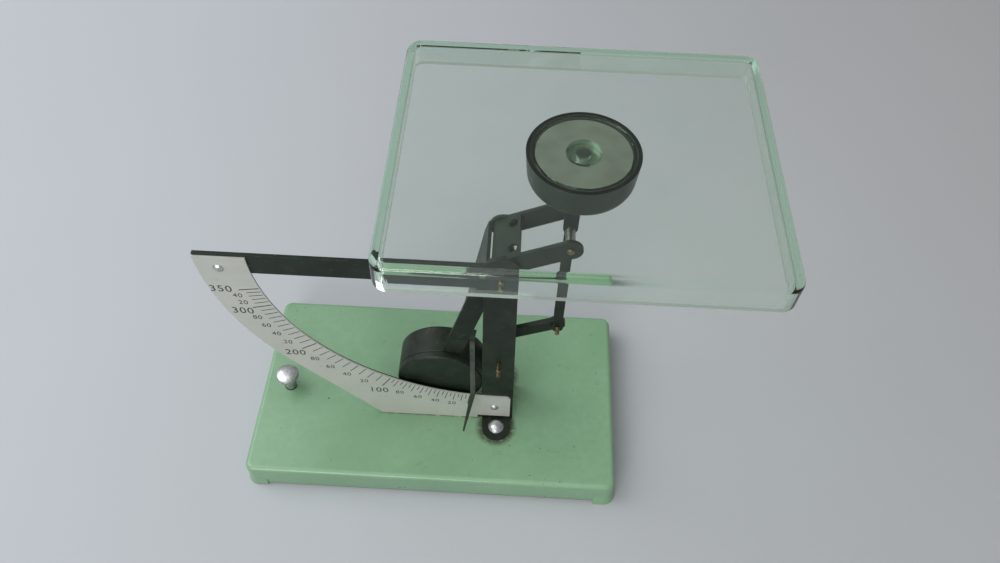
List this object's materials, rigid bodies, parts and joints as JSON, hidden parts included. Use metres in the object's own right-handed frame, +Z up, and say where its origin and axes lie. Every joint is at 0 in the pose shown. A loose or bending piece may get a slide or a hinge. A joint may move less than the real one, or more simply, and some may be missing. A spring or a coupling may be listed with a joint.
{
  "type": "pendulum letter scale",
  "caption": "Pendulum letter scale: clear square pan on a parallelogram linkage, swinging weight and pointer, aluminium arc scale, green pressed base with a levelling screw.",
  "frame": {"origin": "middle of the scale's overall outline, on the bench", "axes": "+X towards the pan's side, +Y towards the back, +Z up"},
  "size_m": [0.18, 0.094, 0.1593],
  "materials": {
    "base_paint": "satin gloss light green enamel",
    "mechanism_paint": "semi-gloss green-black enamel",
    "scale_aluminium": "brushed",
    "polished_aluminium": "polished",
    "brass": "drawn, a little dull",
    "steel": "turned",
    "pointer_steel": "blued",
    "pad_rubber": "matt",
    "clear_pan": "clear, green at the edges",
    "liner_plastic": "grey-green, matt"
  },
  "bodies": {
    "frame": {"base_tray": "base_paint", "frame_plate": "mechanism_paint", "rear_column": "mechanism_paint", "foot_rivets": "polished_aluminium", "scale_plate": "scale_aluminium", "scale_rivets": "polished_aluminium", "fulcrum_axle": "brass", "link_axle": "brass", "frame_split_pins": "brass", "frame_spacers": "steel", "level_nut": "steel"},
    "lever": {"lever_yoke": "mechanism_paint", "weight_drum": "mechanism_paint", "weight_cap": "mechanism_paint", "weight_pin": "mechanism_paint", "pointer": "pointer_steel", "pointer_rivet": "mechanism_paint", "pan_axle": "brass", "lever_spacers": "steel"},
    "pan": {"pan_tray": "clear_pan", "pan_cup": "mechanism_paint", "cup_liner": "liner_plastic", "cup_stud": "mechanism_paint", "pan_stem": "mechanism_paint", "stem_pin": "brass", "stem_split_pin": "brass"},
    "link": {"lower_link": "mechanism_paint"},
    "level_foot": {"level_pad": "pad_rubber"},
    "level_screw": {"level_screw": "polished_aluminium"}
  },
  "joints": [
    {"name": "lever_swing", "type": "hinge", "parent": "frame", "child": "lever", "pos_m": [0.0116, 0, 0.1132], "axis": [0, 1, 0], "range_deg": [0, 72.5]},
    {"name": "pan_level", "type": "hinge", "parent": "lever", "child": "pan", "pos_m": [0.0329, 0, 0.12359], "axis": [0, 1, 0], "range_deg": [-72.5, 0]},
    {"name": "link_swing", "type": "hinge", "parent": "frame", "child": "link", "pos_m": [0.0116, 0, 0.0568], "axis": [0, 1, 0], "range_deg": [0, 72.5]},
    {"name": "level_lift", "type": "slide", "parent": "frame", "child": "level_foot", "axis": [0, 0, 1], "range_m": [-0.0012, 0.0012]},
    {"name": "level_turn", "type": "hinge", "parent": "level_foot", "child": "level_screw", "pos_m": [-0.0776, -0.0012, 0], "axis": [0, 0, 1], "range_deg": [-540.01, 540.01]}
  ],
  "couplings": [
    {"joint": "pan_level", "follows": "lever_swing", "ratio": -1},
    {"joint": "link_swing", "follows": "lever_swing", "ratio": 1},
    {"joint": "level_turn", "follows": "level_lift", "rad_per_m": 7854}
  ]
}
